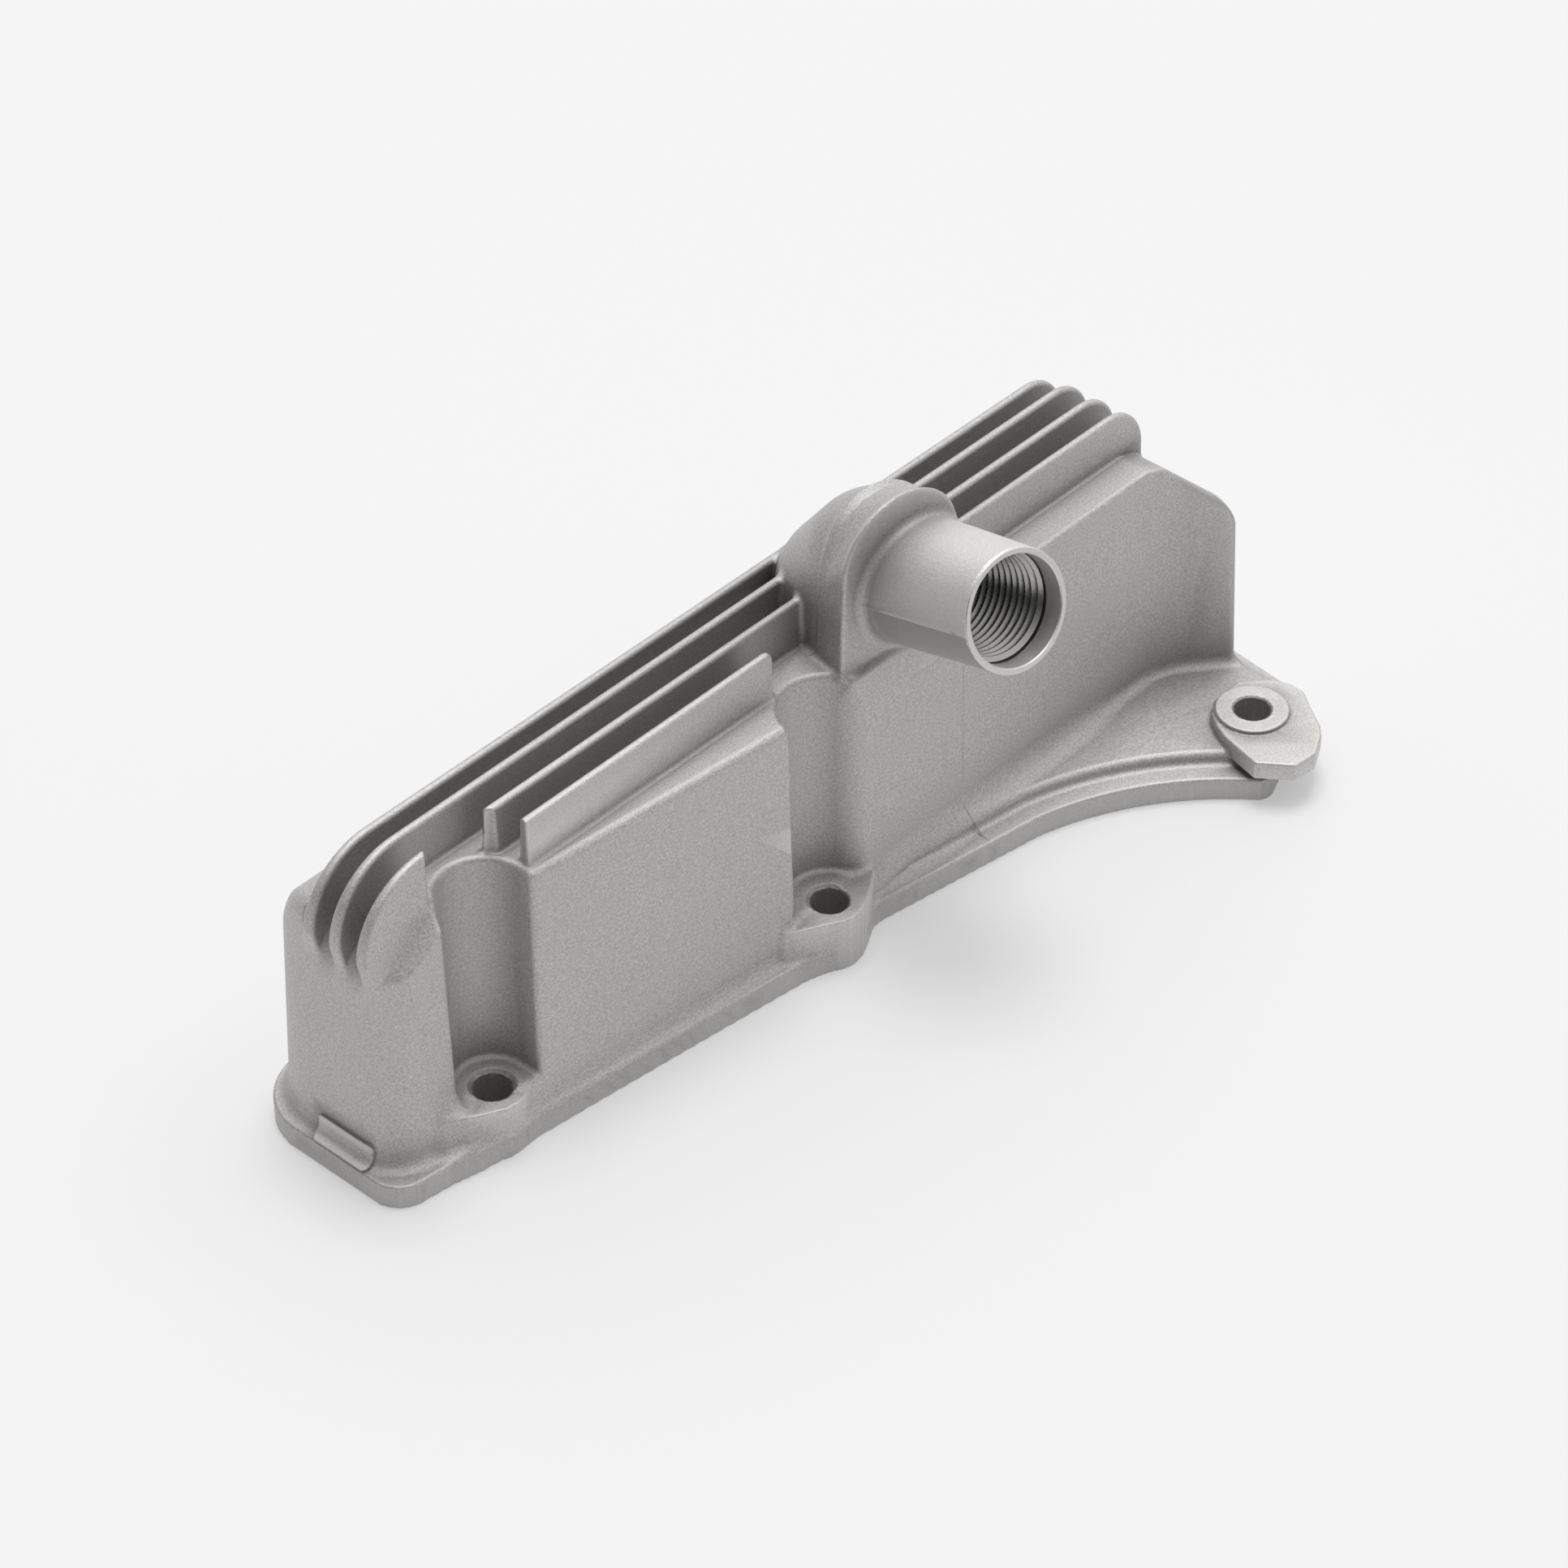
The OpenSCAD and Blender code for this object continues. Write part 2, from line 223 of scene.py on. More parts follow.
def port_coords(x, y, z):
    wx, wy, wz = x - PORT_O[0], y - PORT_O[1], z - PORT_O[2]
    L = wx * PORT_A[0] + wy * PORT_A[1] + wz * PORT_A[2]
    u = wx * PORT_U[0] + wy * PORT_U[1] + wz * PORT_U[2]
    v = wx * PORT_V[0] + wy * PORT_V[1] + wz * PORT_V[2]
    return L, u, v, np.hypot(u, v)


def cavity(x, y, z):
    left = -x - 84.7 + 0.024 * z
    rear = y - 38.1 + 0.026 * z
    d = isec(isec(left, rear, 8.6), np.maximum(isec(rear, z - ROOF + 3.6, 14.1), -z - 3), 1.5)
    f1 = (4.9 - 0.10334 * x + 0.022 * z - y) * 0.9947
    f2 = 5.0 + 0.0215 * z - y
    f3 = 59.2 - (0.6247 * x + 0.7809 * y)
    f23 = uni(f2, np.where(x > 60, f3, 60), 3.3)
    fl = 16.0 + 0.03 * z - y
    front = np.where(x < -66, fl, np.where(x < -4, f1, f23))
    d = isec(d, front, 3.0)
    right = isec(((x - 87.4) * 0.674 + (z - 43.5) * 0.7385), x - 94.8 + 0.04 * z, 5.5)
    d = np.where(x > 50, isec(d, right, 3.0), d)
    ch = (-x - 80.4 + z - ROOF) * 0.7071 + 3.4
    d = np.where(x < -50, isec(d, ch, 2.0), d)
    # bosses round the two pockets
    for c in (H1, H2):
        b = np.hypot(x - c[0], np.maximum(y - c[1], 0)) - 10.2
        d = cut(d, b, 2.0)
    return d


def near(bb, lo, hi):
    return all(bb[0][i] < hi[i] and bb[1][i] > lo[i] for i in range(3))


def field(p, bb=None):
    """distance at p (N, 3); bb is the box of p, and shapes far from it are left out"""
    x, y, z = (np.ascontiguousarray(p[:, i], f4) for i in range(3))
    if bb is None:
        bb = (p.min(0), p.max(0))
    d = body(x, y, z)
    # fins
    if near(bb, (-95, 3, 34), (97, 33, 66)):
        f = fin(x, y, z, FIN_Y[0], 57.9, -95, 97)
        f = np.minimum(f, fin(x, y, z, FIN_Y[1], 59.4, -95, 97))
        g = np.minimum(fin(x, y, z, FIN_Y[2], 59.4, -95, 97), fin(x, y, z, FIN_Y[3], 59.4, -60.0, -4))
        g = np.minimum(g, fin(x, y, z, FIN_Y[3], 59.4, 12, 97))
        c = np.maximum(np.hypot(x - H1[0] - 0.3, y - H1[1] - 0.4) - 8.3, 47 - z)
        g = cut(g, c, 0.4)
        f = np.minimum(f, g)
        d = uni(d, f, 0.6 + 0.9 * step(z, 47, 43))
    # wrench pockets
    if near(bb, (-78, -8, 6), (-57, 20, 56)):
        d = cut(d, pocket(x, y, z, H1, 6.5, 7.3, 0.0), 1.0)
    if near(bb, (-12, -12, 6), (12, 12, 56)):
        d = cut(d, pocket(x, y, z, H2, 7.1, 7.9, 0.4), 1.0 + 2.0 * step(x, 2, 6) * step(z, 50, 45))
    # hub and port tube
    if near(bb, (0, -32, 40), (40, 34, 88)):
        h = hub(x, y, z)
        L, u, v, rho = port_coords(x, y, z)
        rt = 11 - 0.85 * (L + 6) / 31.2
        # parting line of the mould along the tube's two sides
        rt = rt + (0.13 * np.exp(-(v / 0.28) ** 2) - 0.12 * step(v, 0.15, -0.35)) * step(L, 24, 21)
        tube = isec(rho - rt, np.maximum(L - PORT_L + 0.22, -L - 6), 0.15)
        h = uni(h, tube, 1.6)
        d = uni(d, h, 1.2)
    # flange, wing, lugs
    if bb[0][2] < 17:
        low = isec(flange_plan(x, y), z - 4.5, 0.55)
        wa = isec(wing_plan(x, y, 0.0, WING_A, 1.2), z - 4.5, 0.55)
        wb = isec(wing_plan(x, y, 4.3, WING_B, 0.8), z - 6.7, 1.3)
        low = np.minimum(low, wa)
        low = uni(low, wb, 1.2)
        if near(bb, (70, -40, -3), (101, -8, 15)):
            low = uni(low, isec(poly(x, y, FOOT) - 0.8, z - 7.0, 0.3), 0.5)
            plate = isec(isec(poly(x, y, PLATE) - 0.8, z - 9.2, 0.45), 5.7 - z, 0.3)
            low = uni(low, plate, 0.6)
            low = uni(low, isec(np.hypot(x - H3[0], y - H3[1]) - 6.4, z - 10.0, 0.35), 0.3)
        kb = 2.3 + 1.7 * step(x, 8, 20) - 2.0 * step(x, 62, 78)
        d = uni(d, low, kb)
        # pad on the left end, left bare
        if near(bb, (-94, 13, 3), (-83, 30, 12)):
            s = (x + 90.7) * 0.5 + (z - 4.7) * 0.85
            pad = isec(np.abs(y - 21.3) - 5.9, np.abs(s - 2.2) - 2.2, 0.9)
            d = np.minimum(d, isec(d - 0.55, np.maximum(pad, x + 84), 0.3))
        lg = lug(x, y, z, LUG1, H1, 10.5)
        lg = np.minimum(lg, lug(x, y, z, LUG2, H2, 10.5))
        d = uni(d, lg, 1.3 + 2.4 * step(x, -70, -76))
        d = np.maximum(d, -z)
    # hollow underside
    d = cut(d, cavity(x, y, z), 0.4)
    # relief under the wing
    if bb[0][2] < 6:
        rel = poly(x, y, [(24, 2.5), (34, 1), (48, -2), (62, -8.5), (74, -18), (79, -13), (84, -11), (90, -10.5), (95, -10.5), (95, 6), (24, 6)])
        rel = np.maximum(rel, 10 - np.hypot(x - H3[0], y - H3[1]))
        d = cut(d, isec(rel, z - 2.6, 0.5), 0.3)
        # passage in the hub
    if near(bb, (8, -35, 38), (36, 30, 88)):
        L, u, v, rho = port_coords(x, y, z)
        c1 = np.maximum(np.hypot(x - 21.8, y - 14.6) - 8.2, np.maximum(z - 56, 40 - z))
        s1 = np.sqrt((x - 21.8) ** 2 + (y - 14.6) ** 2 + (z - 56) ** 2) - 8.2
        bore = np.maximum(rho - 7.5, np.abs(L - 0.0) - 11)
        d = np.maximum(d, -np.minimum(np.minimum(c1, s1), bore))
        # room for the turned wall of the port
        d = np.maximum(d, -isec(rho - 9.5, 1.6 - L, 0.3))
    # bolt holes with a countersunk edge
    for (cx, cy), top in ((H1, 10.5), (H2, 10.5), (H3, 10.0)):
        if near(bb, (cx - 6, cy - 6, -3), (cx + 6, cy + 6, 14)):
            r = np.hypot(x - cx, y - cy)
            hole = np.minimum(r - 3.2, np.maximum((r - 3.2 - (z - top + 0.3)) * 0.7071, z - top - 1))
            d = np.maximum(d, -hole)
    return d


POOL = ThreadPoolExecutor(4)


def gradient(p, e=0.02):
    """unit normals of the field, by chunks"""
    out = np.empty_like(p)
    k = np.array([[1, -1, -1], [-1, -1, 1], [-1, 1, -1], [1, 1, 1]], f4)

    def run(i):
        q = p[i:i + 16384]
        g = np.zeros_like(q)
        for kk in k:
            g += kk * field(q + kk * e)[:, None]
        out[i:i + 16384] = g / (4 * e)
    list(POOL.map(run, range(0, len(p), 16384)))
    return out


def values(p):
    out = np.empty(len(p), f4)

    def run(i):
        out[i:i + 16384] = field(p[i:i + 16384])
    list(POOL.map(run, range(0, len(p), 16384)))
    return out


def build_casting():
    h = 0.36
    lo = np.array([-93.0, -39.0, -2.0])
    hi = np.array([105.0, 45.5, 84.0])
    n = np.ceil((hi - lo) / h).astype(int) + 1
    vol = np.empty(tuple(n), f4)
    B = 32
    ax = [(lo[i] + h * np.arange(n[i])).astype(f4) for i in range(3)]
    blocks = [(i, j, k) for i in range(0, n[0], B) for j in range(0, n[1], B) for k in range(0, n[2], B)]

    def run(b):
        s = [slice(b[i], min(b[i] + B, n[i])) for i in range(3)]
        g = np.stack(np.meshgrid(ax[0][s[0]], ax[1][s[1]], ax[2][s[2]], indexing="ij"), -1)
        bb = (g[0, 0, 0], g[-1, -1, -1])
        vol[s[0], s[1], s[2]] = field(g.reshape(-1, 3), bb).reshape(g.shape[:3])
    list(POOL.map(run, blocks))
    np.clip(vol, -3 * h, 3 * h, out=vol)
    grid = openvdb.FloatGrid(3 * h)
    grid.copyFromArray(vol)
    pts, tris, quads = grid.convertToPolygons(isovalue=0.0, adaptivity=0.0)
    pts = (np.asarray(pts, np.float64) * h + lo).astype(f4)
    quads = np.asarray(quads, np.int64).reshape(-1, 4)
    tris = np.asarray(tris, np.int64).reshape(-1, 3)
    return h, pts, tris, quads


def to_surface(p, rounds, limit):
    for _ in range(rounds):
        g = gradient(p)
        g2 = np.maximum((g * g).sum(1), 0.2)
        d = np.clip(values(p) / g2, -limit, limit)
        p = p - g * d[:, None]
    return p


def mesh_from(name, verts, faces_list):
    me = bpy.data.meshes.new(name)
    me.vertices.add(len(verts))
    me.vertices.foreach_set("co", np.asarray(verts, f4).ravel())
    loops = np.concatenate([f.ravel() for f in faces_list])
    sizes = np.concatenate([np.full(len(f), f.shape[1]) for f in faces_list])
    me.loops.add(len(loops))
    me.loops.foreach_set("vertex_index", loops.astype(np.int32))
    me.polygons.add(len(sizes))
    starts = np.concatenate([[0], np.cumsum(sizes)[:-1]])
    me.polygons.foreach_set("loop_start", starts.astype(np.int32))
    me.update(calc_edges=True)
    me.validate()
    return me


def apply_modifiers(ob):
    deps = bpy.context.evaluated_depsgraph_get()
    me = bpy.data.meshes.new_from_object(ob.evaluated_get(deps))
    old = ob.data
    ob.modifiers.clear()
    ob.data = me
    bpy.data.meshes.remove(old)
    return me


def link(name, me):
    ob = bpy.data.objects.new(name, me)
    bpy.context.scene.collection.objects.link(ob)
    return ob


# ---------------------------------------------------------------------------
import time
T0 = time.time()
h, pts, tris, quads = build_casting()
print("grid", round(time.time() - T0, 1), "verts", len(pts), "quads", len(quads), "tris", len(tris))
# triangles wound outwards
allt = np.concatenate([tris, quads[:, [0, 1, 2]], quads[:, [0, 2, 3]]])
pts = to_surface(pts, 1, 0.3)
print("project", round(time.time() - T0, 1))
me = mesh_from("cast_body", pts, [allt])      # in millimetres until it is thinned
ob = link("cast_body", me)
dec = ob.modifiers.new("thin", "DECIMATE")
dec.ratio = min(1.0, 180000 / len(allt))
me = apply_modifiers(ob)
me.name = "cast_body"
print("decimate", round(time.time() - T0, 1), len(me.polygons))

co = np.empty(len(me.vertices) * 3, f4)
me.vertices.foreach_get("co", co)
p = to_surface(co.reshape(-1, 3), 2, 0.12)
me.vertices.foreach_set("co", (p * 0.001).ravel())
me.update()

# corner normals from the field, taken a little inside each face
nl = len(me.loops)
lv = np.empty(nl, np.int32)
me.loops.foreach_get("vertex_index", lv)
lt = lv.reshape(-1, 3)
cen = p[lt].mean(1)
q = (p[lt] * 0.72 + cen[:, None, :] * 0.28).reshape(-1, 3).astype(f4)
g = gradient(q)
g /= np.maximum(np.linalg.norm(g, axis=1, keepdims=True), 1e-6)
fn = np.cross(p[lt[:, 1]] - p[lt[:, 0]], p[lt[:, 2]] - p[lt[:, 0]])
flip = np.sign((fn * g.reshape(-1, 3, 3).mean(1)).sum(1))
print("outward faces", (flip > 0).mean())
if (flip > 0).mean() < 0.5:
    me.flip_normals()
    lv2 = np.empty(nl, np.int32)
    me.loops.foreach_get("vertex_index", lv2)
    lt = lv2.reshape(-1, 3)
    cen = p[lt].mean(1)
    q = (p[lt] * 0.72 + cen[:, None, :] * 0.28).reshape(-1, 3).astype(f4)
    g = gradient(q)
    g /= np.maximum(np.linalg.norm(g, axis=1, keepdims=True), 1e-6)
me.polygons.foreach_set("use_smooth", np.ones(len(me.polygons), bool))
me.normals_split_custom_set(g)
me.update()
print("normals", round(time.time() - T0, 1))

# how hollow or proud the surface is, from the mean field 0.9 mm away: the material paints a highlight on proud edges
# and shade in hollows
gv = gradient(p)
gv /= np.maximum(np.linalg.norm(gv, axis=1, keepdims=True), 1e-6)
off = values((p + gv * 0.8).astype(f4)) - 0.8
inn = values((p - gv * 0.8).astype(f4)) + 0.8
edge = np.clip(inn * 1.6, 0, 1)
painted_shade_fine = np.clip(-off * 1.6, 0, 1)
L, u, v, rho = port_coords(p[:, 0], p[:, 1], p[:, 2])
mach = ((rho < 10.05) & (L > PORT_L - 0.5) | (rho < 9.3) & (L > 0)).astype(f4)
# painted shade: the flange's side faces near the floor are darkened
painted_shade_fine = np.maximum(painted_shade_fine, 0.45 * step(p[:, 2], 4.5, 3.6) * (np.abs(gv[:, 2]) < 0.6))
# painted shade in recesses: how far other walls stand in the way
painted_shade_broad = np.zeros(len(p), f4)
for far, part in ((3.0, 0.3), (7.0, 0.35), (14.0, 0.35)):
    painted_shade_broad += part * np.clip(1 - values((p + gv * far).astype(f4)) / far, 0, 1)
# painted shade on the tube below its parting line
painted_shade_broad = np.maximum(painted_shade_broad, 0.9 * step(-v, 0.1, 0.6) * step(L, 0.5, 2.5) * ((rho > 9.9) & (rho < 11.7) & (L < 24.9)))
for nm, val in (("edge", edge), ("painted_shade_fine", painted_shade_fine), ("machined", mach), ("painted_shade_broad", painted_shade_broad)):
    a = me.attributes.new(nm, "FLOAT", "POINT")
    a.data.foreach_set("value", val.astype(f4))

# ---------------------------------------------------------------------------
# thread of the port: one helical ridge, embedded in the bore's wall
# ---------------------------------------------------------------------------
def thread_mesh():
    pitch, r0, r1 = 1.5, 9.06, 8.2
    seg = 96
    turns = 12.6
    n = int(turns * seg)
    start = 21.9 - pitch * 0.5
    prof = [(-0.68, r0), (-0.13, r1 + 0.02), (-0.08, r1), (0.08, r1), (0.13, r1 + 0.02), (0.68, r0)]
    vs, fs = [], []
    for i in range(n + 1):
        a = 2 * math.pi * i / seg
        t = min(1.0, i / (seg * 0.6), (n - i) / (seg * 0.6))
        Lc = start - pitch * i / seg
        for dl, r in prof:
            rr = r0 - (r0 - r) * t
            w = 0.25 + 0.75 * t
            q = PORT_O + PORT_A * (Lc + dl * w) + (PORT_U * math.cos(a) + PORT_V * math.sin(a)) * rr
            vs.append(q * 0.001)
    m = len(prof)
    for i in range(n):
        for j in range(m):
            a, b = i * m + j, i * m + (j + 1) % m
            fs.append((a, b, b + m, a + m))
    fs.append(tuple(range(m)))
    fs.append(tuple(n * m + j for j in range(m - 1, -1, -1)))
    me = bpy.data.meshes.new("port_thread")
    me.from_pydata([tuple(v) for v in vs], [], fs)
    me.update()
    return me


def turned(name, profile, o, a, u, v, seg):
    """closed (length, radius) profile turned about an axis"""
    vs, fs = [], []
    m = len(profile)
    for i in range(seg):
        t = 2 * math.pi * i / seg
        for L_, r_ in profile:
            vs.append((o + a * L_ + (u * math.cos(t) + v * math.sin(t)) * r_) * 0.001)
    for i in range(seg):
        for j in range(m):
            k, n = i * m, (i + 1) % seg * m
            fs.append((k + j, k + (j + 1) % m, n + (j + 1) % m, n + j))
    me = bpy.data.meshes.new(name)
    me.from_pydata([tuple(q) for q in vs], [], fs)
    return me


def tidy(me, angle):
    bm = bmesh.new()
    bm.from_mesh(me)
    bmesh.ops.recalc_face_normals(bm, faces=bm.faces)
    bmesh.ops.triangulate(bm, faces=[f for f in bm.faces if len(f.verts) > 4])
    for f in bm.faces:
        f.smooth = True
    bm.to_mesh(me)
    bm.free()
    me.set_sharp_from_angle(angle=math.radians(angle))
    me.update()


th = link("port_thread", thread_mesh())
tidy(th.data, 28)

# turned wall of the port: lead-in, root of the thread and the flat front ring
LINER = [(1.3, 9.75), (1.3, 9.0), (21.55, 9.0), (21.62, 9.05), (25.02, 9.05), (25.2, 9.23),
         (25.2, 9.96), (25.08, 10.08), (24.7, 10.08), (24.2, 9.75)]
wall = link("port_wall", turned("port_wall", LINER, PORT_O, PORT_A, PORT_U, PORT_V, 144))
tidy(wall.data, 20)


def bead(name, line, half, high):
    """flash of the mould: a thin closed ridge laid on the surface along a line"""
    q = to_surface(np.array(line, f4), 4, 0.8)
    nrm = gradient(q)
    nrm /= np.maximum(np.linalg.norm(nrm, axis=1, keepdims=True), 1e-6)
    tan = np.gradient(q, axis=0)
    side = np.cross(nrm, tan)
    side /= np.maximum(np.linalg.norm(side, axis=1, keepdims=True), 1e-6)
    n = len(q)
    vs, fs = [], []
    for i in range(n):
        t = 0.15 + 0.85 * min(1.0, i / (0.12 * n), (n - 1 - i) / (0.12 * n))
        for a, b in ((-half, -0.12), (0.0, high), (half, -0.12)):
            vs.append((q[i] + side[i] * a * t + nrm[i] * (b * t if b > 0 else b)) * 0.001)
    for i in range(n - 1):
        for j in range(3):
            a, b = i * 3 + j, i * 3 + (j + 1) % 3
            fs.append((a, b, b + 3, a + 3))
    fs.append((0, 1, 2))
    fs.append((n * 3 - 1, n * 3 - 2, n * 3 - 3))
    me = bpy.data.meshes.new(name)
    me.from_pydata([tuple(v) for v in vs], [], fs)
    o = link(name, me)
    tidy(me, 25)
    return o


def polyline(corners, n):
    c = np.array(corners, float)
    s = np.concatenate([[0], np.cumsum(np.linalg.norm(np.diff(c, axis=0), axis=1))])
    t = np.linspace(0, s[-1], n)
    return np.stack([np.interp(t, s, c[:, i]) for i in range(3)], 1)


flashes = [
    bead("flash_tube", [PORT_O + PORT_A * (3.2 + 0.36 * i) + PORT_U * (10.6 - 0.012 * i) for i in range(59)], 0.24, 0.2),
    bead("flash_wall", polyline([(34.3, 1.5, 47.5), (34.3, 0.8, 11.5)], 50), 0.16, 0.09),
    bead("flash_wing", polyline([(34.3, 0.1, 9.6), (34.3, -1.4, 7.3), (34.3, -6.0, 6.7)], 36), 0.16, 0.1),
]

# ---------------------------------------------------------------------------
# materials
# ---------------------------------------------------------------------------
def new_mat(name):
    m = bpy.data.materials.new(name)
    m.use_nodes = True
    nt = m.node_tree
    nt.nodes.clear()
    out = nt.nodes.new("ShaderNodeOutputMaterial")
    bs = nt.nodes.new("ShaderNodeBsdfPrincipled")
    nt.links.new(bs.outputs[0], out.inputs[0])
    return m, nt, bs


def cast_material():
    m, nt, bs = new_mat("cast_aluminium")
    N, K = nt.nodes.new, nt.links.new
    tc = N("ShaderNodeTexCoord")

    def noise(scale, detail=2.0, rough=0.5):
        n = N("ShaderNodeTexNoise")
        n.inputs["Scale"].default_value = scale
        n.inputs["Detail"].default_value = detail
        n.inputs["Roughness"].default_value = rough
        K(tc.outputs["Object"], n.inputs["Vector"])
        return n.outputs["Fac"]

    def attr(name):
        a = N("ShaderNodeAttribute")
        a.attribute_name = name
        return a.outputs["Fac"]

    def math_(op, a, b=None, c=None):
        n = N("ShaderNodeMath")
        n.operation = op
        for i, s in enumerate((a, b, c)):
            if s is None:
                continue
            if isinstance(s, (int, float)):
                n.inputs[i].default_value = s
            else:
                K(s, n.inputs[i])
        return n.outputs[0]

    def mix(fac, a, b):
        n = N("ShaderNodeMix")
        n.data_type = "RGBA"
        K(fac, n.inputs["Factor"])
        for key, s in (("A", a), ("B", b)):
            sock = [i for i in n.inputs if i.name == key and i.type == "RGBA"][0]
            if isinstance(s, tuple):
                sock.default_value = s
            else:
                K(s, sock)
        return [o for o in n.outputs if o.type == "RGBA"][0]

    grain = noise(2600, 2.0, 0.6)
    fine = noise(6500, 1.0, 0.5)
    cloud = noise(45, 3.0, 0.55)
    edge, painted_shade_fine, machined = attr("edge"), attr("painted_shade_fine"), attr("machined")
    base = mix(cloud, (0.635, 0.627, 0.616, 1), (0.705, 0.697, 0.686, 1))
    base = mix(math_("MULTIPLY_ADD", grain, 3.0, -1.0), (0.485, 0.477, 0.467, 1), base)
    # painted highlight: proud edges lightened in the base colour
    base = mix(math_("MULTIPLY", edge, 0.6), base, (0.85, 0.842, 0.83, 1))
    # painted shade: hollows and the flange's side faces near the floor darkened
    base = mix(math_("MULTIPLY", painted_shade_fine, 0.8), base, (0.26, 0.254, 0.247, 1))
    # painted shade: recesses and the tube's underside darkened
    base = mix(math_("MULTIPLY", attr("painted_shade_broad"), 0.4), base, (0.16, 0.157, 0.153, 1))
    base = mix(machined, base, (0.78, 0.77, 0.755, 1))
    K(base, bs.inputs["Base Color"])
    bs.inputs["Metallic"].default_value = 1.0
    rough = math_("ADD", math_("MULTIPLY_ADD", grain, 0.16, 0.57), math_("MULTIPLY", machined, -0.3))
    K(rough, bs.inputs["Roughness"])
    bump = N("ShaderNodeBump")
    bump.inputs["Strength"].default_value = 0.8
    bump.inputs["Distance"].default_value = 0.00009
    hgt = math_("ADD", math_("MULTIPLY", grain, 0.7), math_("MULTIPLY", fine, 0.3))
    hgt = math_("MULTIPLY", hgt, math_("SUBTRACT", 1.0, math_("MULTIPLY", machined, 0.9)))
    K(hgt, bump.inputs["Height"])
    K(bump.outputs[0], bs.inputs["Normal"])
    return m


def turned_material(name, tone, lo, hi):
    m, nt, bs = new_mat(name)
    N, K = nt.nodes.new, nt.links.new
    tc = N("ShaderNodeTexCoord")
    n = N("ShaderNodeTexNoise")
    n.inputs["Scale"].default_value = 900
    K(tc.outputs["Object"], n.inputs["Vector"])
    r = N("ShaderNodeMapRange")
    r.inputs["To Min"].default_value = lo
    r.inputs["To Max"].default_value = hi
    K(n.outputs["Fac"], r.inputs["Value"])
    K(r.outputs[0], bs.inputs["Roughness"])
    bs.inputs["Base Color"].default_value = (tone, tone * 0.987, tone * 0.966, 1)
    bs.inputs["Metallic"].default_value = 1.0
    return m


ob.data.materials.clear()
ob.data.materials.append(cast_material())
# painted shade: the thread's metal darkened to stand for the shade inside the bore
th.data.materials.append(turned_material("cut_thread_painted_shade", 0.42, 0.22, 0.32))
wall.data.materials.append(turned_material("turned_ring", 0.70, 0.34, 0.46))
# painted shade: a near-black copy of the turned metal for the deep part of the bore
wall.data.materials.append(turned_material("thread_root_painted_shade", 0.12, 0.35, 0.50))
# painted highlight: a lighter copy of the turned metal on the lead-in
wall.data.materials.append(turned_material("lead_in_painted_highlight", 0.95, 0.44, 0.56))
for f in wall.data.polygons:
    Lf = float(np.dot(np.array(f.center) * 1000 - PORT_O, PORT_A))
    f.material_index = 0 if Lf > 25.03 or Lf > 22 and f.normal.dot(Vector(PORT_A)) > 0.5 else (2 if Lf > 21.7 else 1)
for o in flashes:
    o.data.materials.append(wall.data.materials[0] if o is flashes[0] else ob.data.materials[0])
for o in [ob, th, wall] + flashes:
    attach(o, "root")
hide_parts("crankcase_cover")

# ---------------------------------------------------------------------------
# floor, light, camera
# ---------------------------------------------------------------------------
bpy.ops.mesh.primitive_plane_add(size=8, location=(0, 0, 0))
floor = bpy.context.object
floor.name = "floor"
fm, nt, bs = new_mat("floor")
bs.inputs["Base Color"].default_value = (0.5, 0.5, 0.5, 1)
bs.inputs["Roughness"].default_value = 0.9
bs.inputs["Specular IOR Level"].default_value = 0.1
bs.inputs["Emission Color"].default_value = (1, 1, 1, 1)     # lit from below, like a light table
# ... but not under the part, where its hollow and its bolt holes stand
ft = nt.nodes.new("ShaderNodeTexCoord")


def node_math(op, a, b):
    n = nt.nodes.new("ShaderNodeMath")
    n.operation = op
    for i, s in enumerate((a, b)):
        if isinstance(s, (int, float)):
            n.inputs[i].default_value = s
        else:
            nt.links.new(s, n.inputs[i])
    return n.outputs[0]


fs = nt.nodes.new("ShaderNodeSeparateXYZ")
nt.links.new(ft.outputs["Object"], fs.inputs[0])
in_x = node_math("LESS_THAN", node_math("ABSOLUTE", node_math("SUBTRACT", fs.outputs[0], 0.006), 0.0), 0.090)
in_y = node_math("LESS_THAN", node_math("ABSOLUTE", node_math("SUBTRACT", fs.outputs[1], 0.025), 0.0), 0.013)
dark = node_math("MULTIPLY", in_x, in_y)
for c in (H1, H2, H3):
    fd = nt.nodes.new("ShaderNodeVectorMath")
    fd.operation = "DISTANCE"
    nt.links.new(ft.outputs["Object"], fd.inputs[0])
    fd.inputs[1].default_value = (c[0] * 0.001, c[1] * 0.001, 0)
    dark = node_math("MAXIMUM", dark, node_math("LESS_THAN", fd.outputs["Value"], 0.004))
nt.links.new(node_math("MULTIPLY", node_math("SUBTRACT", 1.0, dark), 0.32), bs.inputs["Emission Strength"])
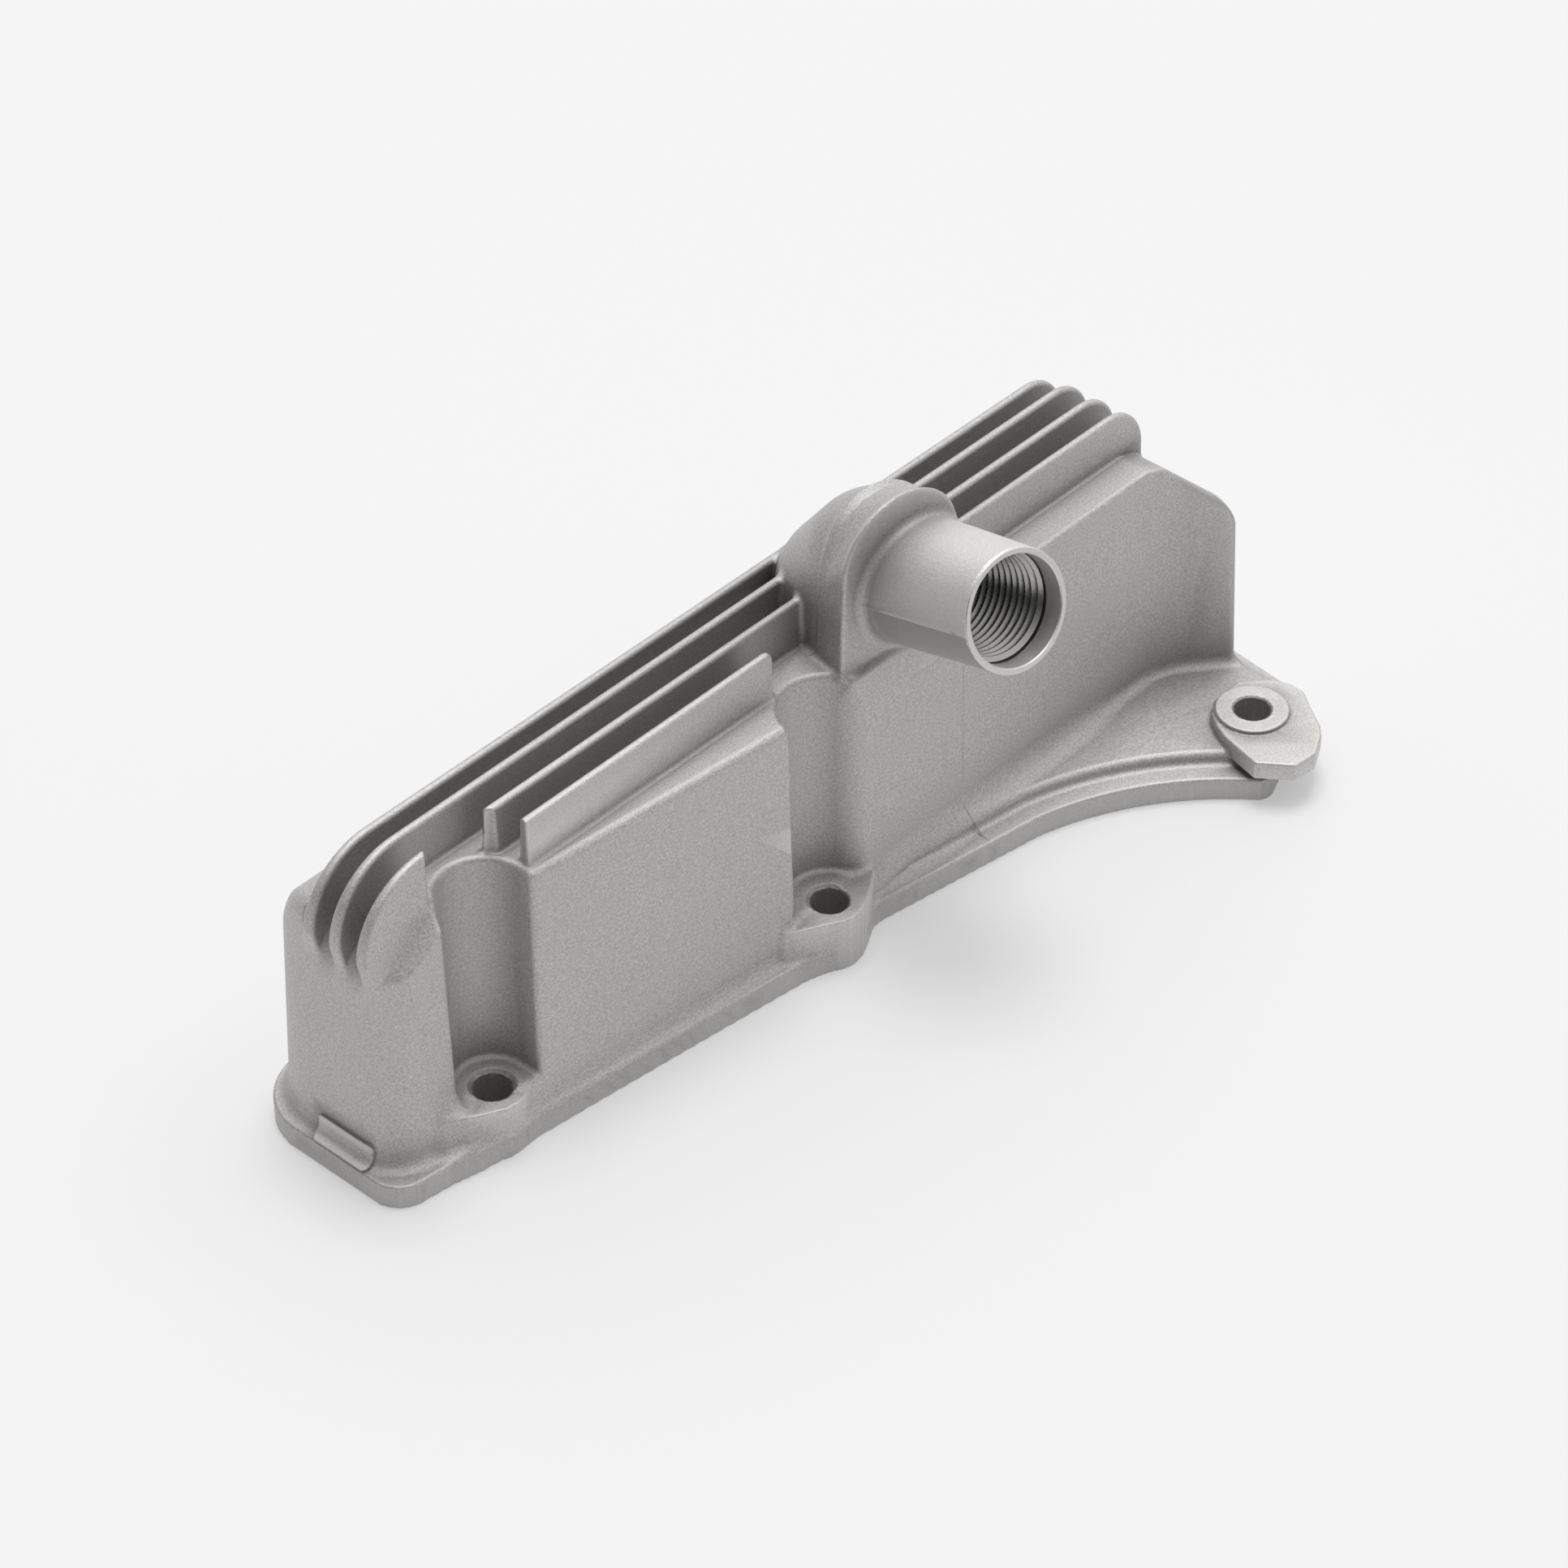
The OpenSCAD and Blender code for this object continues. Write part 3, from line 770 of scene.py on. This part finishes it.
floor.data.materials.append(fm)

sc = bpy.context.scene
w = bpy.data.worlds.new("studio")
sc.world = w
w.use_nodes = True
bg = w.node_tree.nodes["Background"]
bg.inputs[0].default_value = (1, 1, 1, 1)
# the studio is bright towards the right and dim towards the left
wt = w.node_tree.nodes.new("ShaderNodeTexCoord")
wd = w.node_tree.nodes.new("ShaderNodeVectorMath")
wd.operation = "DOT_PRODUCT"
wd.inputs[1].default_value = (0.47, 0.10, 0.877)
wm = w.node_tree.nodes.new("ShaderNodeMapRange")
wm.interpolation_type = "SMOOTHSTEP"
for key, val in (("From Min", -0.25), ("From Max", 0.95), ("To Min", 0.02), ("To Max", 1.0)):
    wm.inputs[key].default_value = val
w.node_tree.links.new(wt.outputs["Generated"], wd.inputs[0])
w.node_tree.links.new(wd.outputs["Value"], wm.inputs["Value"])
w.node_tree.links.new(wm.outputs["Result"], bg.inputs[1])


def area(name, loc, at, size, energy, color=(1, 1, 1)):
    l = bpy.data.lights.new(name, "AREA")
    l.shape = "RECTANGLE"
    l.size, l.size_y = size
    l.energy = energy
    l.color = color
    o = bpy.data.objects.new(name, l)
    sc.collection.objects.link(o)
    o.location = loc
    o.rotation_euler = (Vector(at) - Vector(loc)).to_track_quat("-Z", "Y").to_euler()
    return o


area("key", (0.34, 0.30, 3.0), (0, 0.0, 0.03), (1.2, 1.2), 43)

cam = bpy.data.cameras.new("camera")
cam.sensor_width = 36
cam.sensor_fit = "HORIZONTAL"
cam.lens = 5800 / 1932 * 36
cam.clip_start, cam.clip_end = 0.01, 50
co_ = bpy.data.objects.new("camera", cam)
sc.collection.objects.link(co_)
co_.location = (-0.43381, -0.37865, 0.51299)
el, az = math.radians(39.7), math.radians(41.85)
fwd = Vector((math.cos(el) * math.cos(az), math.cos(el) * math.sin(az), -math.sin(el)))
co_.rotation_euler = fwd.to_track_quat("-Z", "Y").to_euler()
sc.camera = co_
sc.view_settings.view_transform = "Standard"

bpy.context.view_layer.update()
print("total", round(time.time() - T0, 1))
